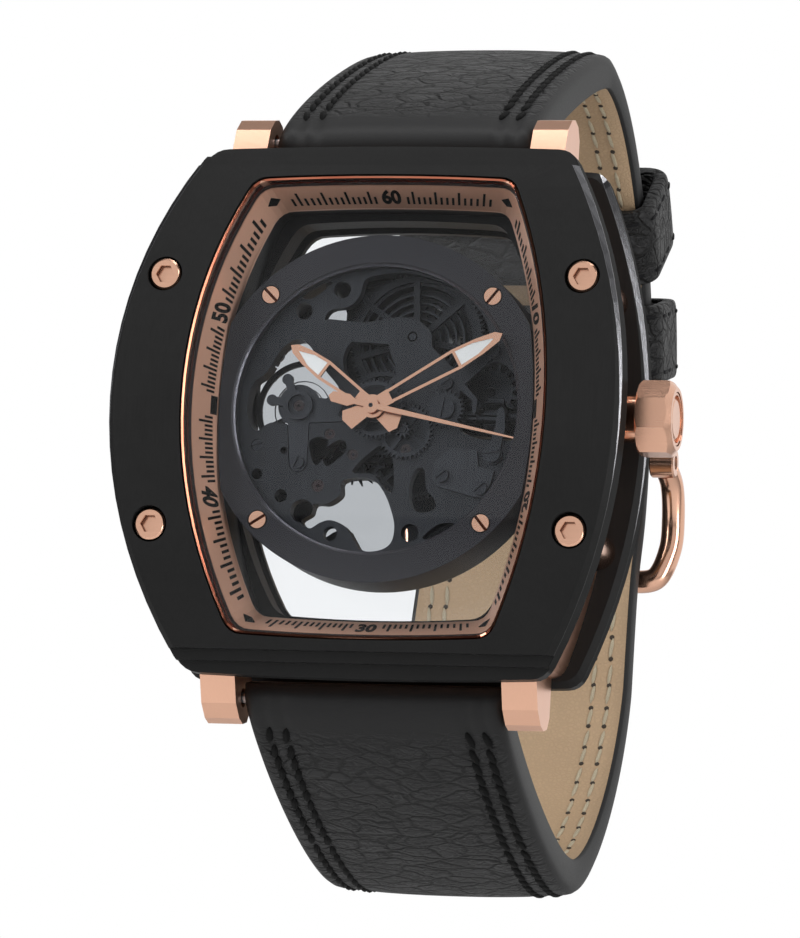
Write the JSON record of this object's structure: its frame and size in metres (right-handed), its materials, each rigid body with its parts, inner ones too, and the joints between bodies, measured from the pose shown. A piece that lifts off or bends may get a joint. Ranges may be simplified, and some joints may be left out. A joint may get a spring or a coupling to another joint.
{
  "type": "skeleton wristwatch",
  "caption": "Barrel-shaped black and rose gold wristwatch with an open hand-wound movement, faceted crown and padded black leather strap on a pin buckle.",
  "frame": {"origin": "centre of the wrist opening, midway between the case back and the inside of the strap", "axes": "-Y is the way the dial faces, +Z points to twelve o'clock, +X points along the crown"},
  "size_m": [0.045, 0.0677, 0.073],
  "materials": {
    "black_steel": "black coated, satin brushed with polished edges",
    "rose_gold": "rose gold, satin with polished edges",
    "crystal": "clear, coated",
    "rubber": "matt",
    "steel": "polished and brushed",
    "dark_metal": "dark grey, fine blasted with polished bevels",
    "wheel_brass": "gilt",
    "ruby": "polished synthetic ruby",
    "lume": "matt luminous paint",
    "black_leather": "deep grained with black stitching and beige lining"
  },
  "bodies": {
    "case": {"bezel": "black_steel", "bezel_screws": "rose_gold", "case_pillars": "rose_gold", "chapter_ring": "rose_gold", "front_crystal": "crystal", "case_gaskets": "rubber", "middle_case": "rose_gold", "movement_holder": "black_steel", "back_plate": "black_steel", "back_crystal": "crystal", "case_back_screws": "rose_gold", "crown_tube": "rose_gold", "spring_bars": "steel", "dial_ring": "dark_metal", "dial_ring_screws": "rose_gold", "main_plate": "dark_metal", "train_bridge": "dark_metal", "barrel_bridge": "dark_metal", "movement_screws": "steel", "balance_cock": "dark_metal", "jewels": "ruby", "click_spring": "steel", "hairspring": "steel", "keyless_cover": "dark_metal", "strap_upper": "black_leather", "strap_lower": "black_leather", "fixed_keeper": "black_leather", "buckle_bar": "steel"},
    "crown_slide": {"crown_gasket": "rubber"},
    "crown_set": {"winding_stem": "steel", "crown": "rose_gold", "crown_cap": "rose_gold"},
    "clutch": {"sliding_pinion": "steel"},
    "winding_gear": {"winding_pinion": "steel"},
    "crown_gear": {"crown_wheel": "steel"},
    "ratchet": {"ratchet_wheel": "steel", "barrel_arbor": "steel"},
    "lever": {"setting_lever": "steel"},
    "yoke_arm": {"yoke": "steel"},
    "seconds_train": {"fourth_wheel": "wheel_brass", "seconds_hand": "rose_gold"},
    "third_train": {"third_wheel": "wheel_brass"},
    "minute_train": {"centre_wheel": "wheel_brass", "cannon_pinion": "steel", "minute_hand": "rose_gold", "minute_lume": "lume"},
    "hour_train": {"hour_wheel": "steel", "hour_hand": "rose_gold", "hour_lume": "lume"},
    "minute_gear": {"minute_wheel": "steel"},
    "setting_gear": {"setting_wheel": "steel"},
    "barrel_drum": {"barrel": "dark_metal", "mainspring": "steel"},
    "escape_gear": {"escape_wheel": "steel"},
    "fork": {"pallet_fork": "steel"},
    "balance": {"balance_wheel": "wheel_brass"},
    "click_arm": {"click": "steel"},
    "buckle": {"buckle_frame": "rose_gold"},
    "tongue": {"buckle_tongue": "rose_gold"},
    "keeper_loop": {"free_keeper": "black_leather"}
  },
  "joints": [
    {"name": "crown_pull", "type": "slide", "parent": "case", "child": "crown_slide", "axis": [1, 0, 0], "range_m": [0, 0.001]},
    {"name": "crown_turn", "type": "hinge", "parent": "crown_slide", "child": "crown_set", "pos_m": [0.01, -0.0288, 0], "axis": [1, 0, 0], "continuous": true},
    {"name": "clutch_slide", "type": "slide", "parent": "crown_set", "child": "clutch", "axis": [1, 0, 0], "range_m": [-0.0016, 0]},
    {"name": "lever_swing", "type": "hinge", "parent": "case", "child": "lever", "pos_m": [0.0097, -0.0313, -0.0035], "axis": [0, 1, 0], "range_deg": [0, 17.2]},
    {"name": "yoke_swing", "type": "hinge", "parent": "case", "child": "yoke_arm", "pos_m": [0.0093, -0.0313, 0.0049], "axis": [0, 1, 0], "range_deg": [0, 7.4]},
    {"name": "winding_pinion_turn", "type": "hinge", "parent": "case", "child": "winding_gear", "pos_m": [0.01, -0.0288, 0], "axis": [1, 0, 0], "continuous": true},
    {"name": "crown_wheel_turn", "type": "hinge", "parent": "case", "child": "crown_gear", "pos_m": [0.00827, -0.0271, 0.00232], "axis": [0, 1, 0], "continuous": true},
    {"name": "ratchet_turn", "type": "hinge", "parent": "case", "child": "ratchet", "pos_m": [0.0025, -0.0271, 0.00607], "axis": [0, 1, 0], "continuous": true},
    {"name": "click_swing", "type": "hinge", "parent": "case", "child": "click_arm", "pos_m": [-0.0021, -0.0271, 0.00993], "axis": [0, 1, 0], "range_deg": [-8, 0]},
    {"name": "seconds_turn", "type": "hinge", "parent": "case", "child": "seconds_train", "pos_m": [0, -0.0285, 0], "axis": [0, 1, 0], "continuous": true},
    {"name": "third_wheel_turn", "type": "hinge", "parent": "case", "child": "third_train", "pos_m": [0.00244, -0.0278, -0.00312], "axis": [0, 1, 0], "continuous": true},
    {"name": "minute_turn", "type": "hinge", "parent": "case", "child": "minute_train", "pos_m": [0, -0.0295, 0], "axis": [0, 1, 0], "continuous": true},
    {"name": "hour_turn", "type": "hinge", "parent": "case", "child": "hour_train", "pos_m": [0, -0.032, 0], "axis": [0, 1, 0], "continuous": true},
    {"name": "minute_wheel_turn", "type": "hinge", "parent": "case", "child": "minute_gear", "pos_m": [0.00241, -0.0313, -0.0017], "axis": [0, 1, 0], "continuous": true},
    {"name": "setting_wheel_turn", "type": "hinge", "parent": "case", "child": "setting_gear", "pos_m": [0.0056, -0.0313, 0.00015], "axis": [0, 1, 0], "continuous": true},
    {"name": "barrel_turn", "type": "hinge", "parent": "case", "child": "barrel_drum", "pos_m": [0.0025, -0.0285, 0.00607], "axis": [0, 1, 0], "continuous": true},
    {"name": "escape_turn", "type": "hinge", "parent": "case", "child": "escape_gear", "pos_m": [-0.0019, -0.0282, -0.0036], "axis": [0, 1, 0], "continuous": true},
    {"name": "pallet_swing", "type": "hinge", "parent": "case", "child": "fork", "pos_m": [-0.0039, -0.0282, -0.00195], "axis": [0, 1, 0], "range_deg": [-3, 3]},
    {"name": "balance_swing", "type": "hinge", "parent": "case", "child": "balance", "pos_m": [-0.0066, -0.0289, 0.00033], "axis": [0, 1, 0], "range_deg": [-220, 220]},
    {"name": "buckle_swing", "type": "hinge", "parent": "case", "child": "buckle", "pos_m": [0, 0.0252, 0.006], "axis": [1, 0, 0], "range_deg": [0, 10]},
    {"name": "tongue_swing", "type": "hinge", "parent": "case", "child": "tongue", "pos_m": [0, 0.0252, 0.006], "axis": [1, 0, 0], "range_deg": [0, 10]},
    {"name": "keeper_slide", "type": "slide", "parent": "case", "child": "keeper_loop", "axis": [0, -0.6004, 0.7997], "range_m": [-0.0012, 0.0012]}
  ],
  "couplings": [
    {"joint": "clutch_slide", "follows": "crown_pull", "ratio": -1.6},
    {"joint": "lever_swing", "follows": "crown_pull", "rad_per_m": 296.2},
    {"joint": "yoke_swing", "follows": "crown_pull", "rad_per_m": 124.8},
    {"joint": "winding_pinion_turn", "follows": "crown_turn", "ratio": 1},
    {"joint": "crown_wheel_turn", "follows": "crown_turn", "ratio": -0.58823},
    {"joint": "ratchet_turn", "follows": "crown_turn", "ratio": 0.26316},
    {"joint": "third_wheel_turn", "follows": "seconds_turn", "ratio": -0.13333},
    {"joint": "minute_turn", "follows": "seconds_turn", "ratio": 0.016667},
    {"joint": "hour_turn", "follows": "seconds_turn", "ratio": 0.0013889},
    {"joint": "minute_wheel_turn", "follows": "seconds_turn", "ratio": -0.0055556},
    {"joint": "setting_wheel_turn", "follows": "seconds_turn", "ratio": 0.0083333},
    {"joint": "barrel_turn", "follows": "seconds_turn", "ratio": -0.003125},
    {"joint": "escape_turn", "follows": "seconds_turn", "ratio": -10},
    {"joint": "tongue_swing", "follows": "buckle_swing", "ratio": 1}
  ]
}
